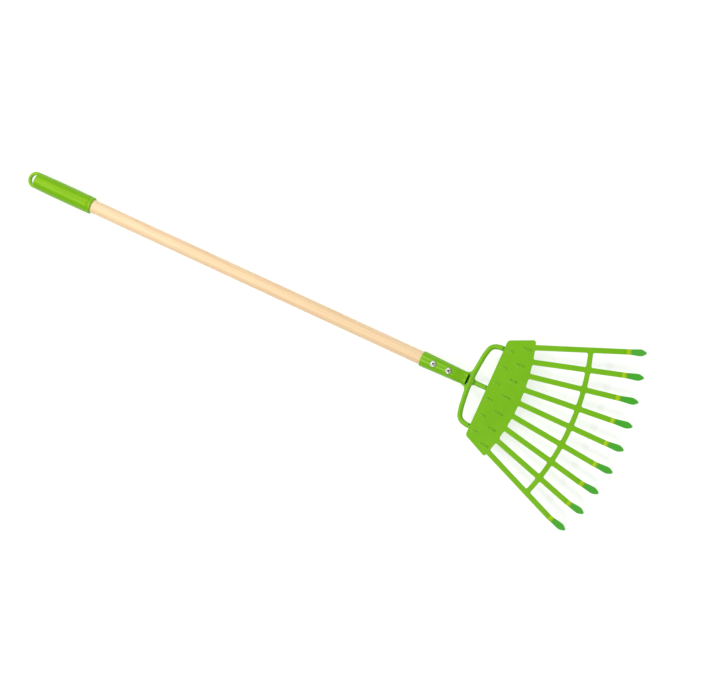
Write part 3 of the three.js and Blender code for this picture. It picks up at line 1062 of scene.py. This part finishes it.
grip = {
    "widestX": -470,
    "radius": 11.45,
    "endRadius": 10.95,
    "rimRadius": 11.2,
    "endRound": 3.0,
    "groove": 0.35,
    "loopThickness": 6.5,
    "shoulder": 9.3,
    "loopLength": 10.0,
    "slotLength": 6.8,
    "slotHalf": 6.6,
    "loopSoftness": 1.1,
    "loopInside": 2.2,
    "boreGrow": 0.12,
    "boreDepth": 9,
    "grooveBack": 4.2,
    "grooveStep": 0.45,
    "bodyRings": 24,
    "rimRound": 1.2,
    "rimSeat": 1.15,
}


def makeLoop(shoulderX, axisZ):
    # A half ring between two ellipses, drawn flat, thickened and softened.
    half = grip["endRadius"] - 0.1
    deselectAll()
    bpy.ops.mesh.primitive_circle_add(vertices=96, radius=1, location=(shoulderX, 0, axisZ))
    inner = named("slotEdge")
    inner.scale = (grip["slotLength"], grip["slotHalf"], 1)
    bpy.ops.mesh.primitive_circle_add(vertices=96, radius=1, location=(shoulderX, 0, axisZ))
    outer = named("loopEdge")
    outer.scale = (grip["loopLength"], half, 1)
    applyPlace(inner)
    applyPlace(outer)
    loop = joinAll([outer, inner], "hangingLoop")
    openEdit(loop)
    bpy.ops.mesh.select_all(action="SELECT")
    bpy.ops.mesh.bridge_edge_loops()
    bpy.ops.mesh.select_all(action="SELECT")
    cut = (shoulderX + grip["loopInside"], 0, axisZ)
    bpy.ops.mesh.bisect(plane_co=cut, plane_no=(1, 0, 0), clear_outer=True)
    bpy.ops.mesh.select_all(action="SELECT")
    bpy.ops.mesh.normals_make_consistent(inside=False)
    closeEdit()
    addModifier(loop, "SOLIDIFY", thickness=grip["loopThickness"], offset=0)
    addModifier(loop, "BEVEL", width=grip["loopSoftness"], segments=4, limit_method="ANGLE",
                angle_limit=radians(60))
    tidyMesh(loop)
    return loop


def makeGrip(material, axisZ):
    low, high = drawnBox("grip")
    shoulder = low.x + grip["shoulder"]
    bore = drawnBox("handle")[1].y + grip["boreGrow"]
    edge = grip["endRound"]

    def radiusAt(x):
        end, endRadius = high.x, grip["rimRadius"]
        if x < grip["widestX"]:
            end, endRadius = shoulder, grip["endRadius"]
        share = (x - grip["widestX"]) / (end - grip["widestX"])
        return grip["radius"] - (grip["radius"] - endRadius) * share * share

    profile = [(shoulder, 0), (shoulder, 4)]
    profile += roundedEdge(shoulder + edge, radiusAt(shoulder + edge) - edge, edge, 180, 90, 10)
    grooveX = high.x - grip["grooveBack"]
    step, depth, count = grip["grooveStep"], grip["groove"], grip["bodyRings"]
    bodyEnd = grooveX - 2 * step
    body = [mixed(shoulder + edge + 1, bodyEnd, i / count) for i in range(count + 1)]
    profile += [(x, radiusAt(x)) for x in body]
    surface = radiusAt(grooveX)
    profile += [(grooveX - step, surface - depth * 0.8), (grooveX, surface - depth)]
    profile += [(grooveX + step, surface - depth * 0.6), (grooveX + 2 * step, surface + 0.05)]
    rim, boreEnd = grip["rimRound"], high.x - grip["boreDepth"]
    profile += roundedEdge(high.x - rim, radiusAt(high.x) - grip["rimSeat"], rim, 90, 0, 6)
    profile += [(high.x - 0.2, bore + 0.4), (high.x - 0.6, bore), (boreEnd, bore), (boreEnd, 0)]
    barrel = turned("gripSleeve", profile, 96, (0, 0, axisZ))
    loop = makeLoop(shoulder, axisZ)
    addModifier(barrel, "BOOLEAN", object=loop, operation="UNION", solver="EXACT")
    bpy.data.objects.remove(loop)
    smoothBy(barrel, 40)
    layDown(barrel, material, ["grip"])
    return barrel


# ---- screws ----

screw = {
    "head": 3.5,
    "height": 2.3,
    "shank": 1.75,
    "length": 15.0,
    "recess": 2.3,
    "slot": 1.2,
    "rim": 4.0,
    "shadowRimThickness": 0.2,
    "sideHeight": 0.7,
    "flat": 0.35,
    "slotLength": 3.9,
    "pointLength": 3,
}


def makeScrew(material, node, name):
    low, high = drawnBox(node)
    x = (low.x + high.x) / 2
    top = high.z
    seat = top - screw["height"]
    head = screw["head"]
    shank, rim, flat = screw["shank"], screw["rim"], screw["flat"]
    shadowRimTop, side = seat + screw["shadowRimThickness"], seat + screw["sideHeight"]
    # The thin rim under the head is a dark flange that carries a painted shadow round the head.
    dome = [(seat, rim), (shadowRimTop, rim), (shadowRimTop + 0.1, head), (side, head)]
    angles = [radians(angle) for angle in range(10, 91, 10)]
    dome += [(mixed(side + 0.2, top, sin(a)), head * (flat + (1 - flat) * cos(a))) for a in angles]
    point = seat - screw["length"] + 1
    profile = [(point, 0), (point + screw["pointLength"], shank), (seat, shank)]
    piece = turned(name, profile + dome + [(top, 0)], 48, (x, 0, 0), axis=(0, 0, 1))
    for turn in (pi / 4, -pi / 4):
        bpy.ops.mesh.primitive_cube_add(size=1, location=(x, 0, top))
        blade = bpy.context.object
        blade.scale = (screw["slotLength"], screw["slot"], 2 * screw["recess"])
        blade.rotation_euler.z = turn
        addModifier(piece, "BOOLEAN", object=blade, operation="DIFFERENCE", solver="EXACT")
        bpy.data.objects.remove(blade)
    # Painted shade in the cross recess, and a painted shadow on the rim under the head.
    paintedShade = piece.data.attributes.new("paintedShadeShare", "FLOAT", "POINT")
    for i, corner in enumerate(piece.data.vertices):
        away = hypot(corner.co.x - x, corner.co.y)
        sunk = away < 2.1 and corner.co.z < top - 0.6
        paintedShade.data[i].value = 1 if sunk or away > head + 0.1 else 0
    smoothBy(piece, 35)
    layDown(piece, material, [node])
    return piece


# ---- the whole rake ----

makeCamera()
makeStudio()
handleLow, handleHigh = drawnBox("handle")
handleZ = (handleLow.z + handleHigh.z) / 2
makeComb(makePaint("combPaint", True))
steelPaint = makePaint("steelPaint", False)
makeYoke(steelPaint)
makeFerrule(steelPaint, handleZ)
makeHandle(makeWoodFinish(handleZ), handleZ)
makeGrip(makeGripPlastic(), handleZ)
zinc = makeZinc()
makeScrew(zinc, "screw_rear", "screwRear")
makeScrew(zinc, "screw_front", "screwFront")
print("rake ready")
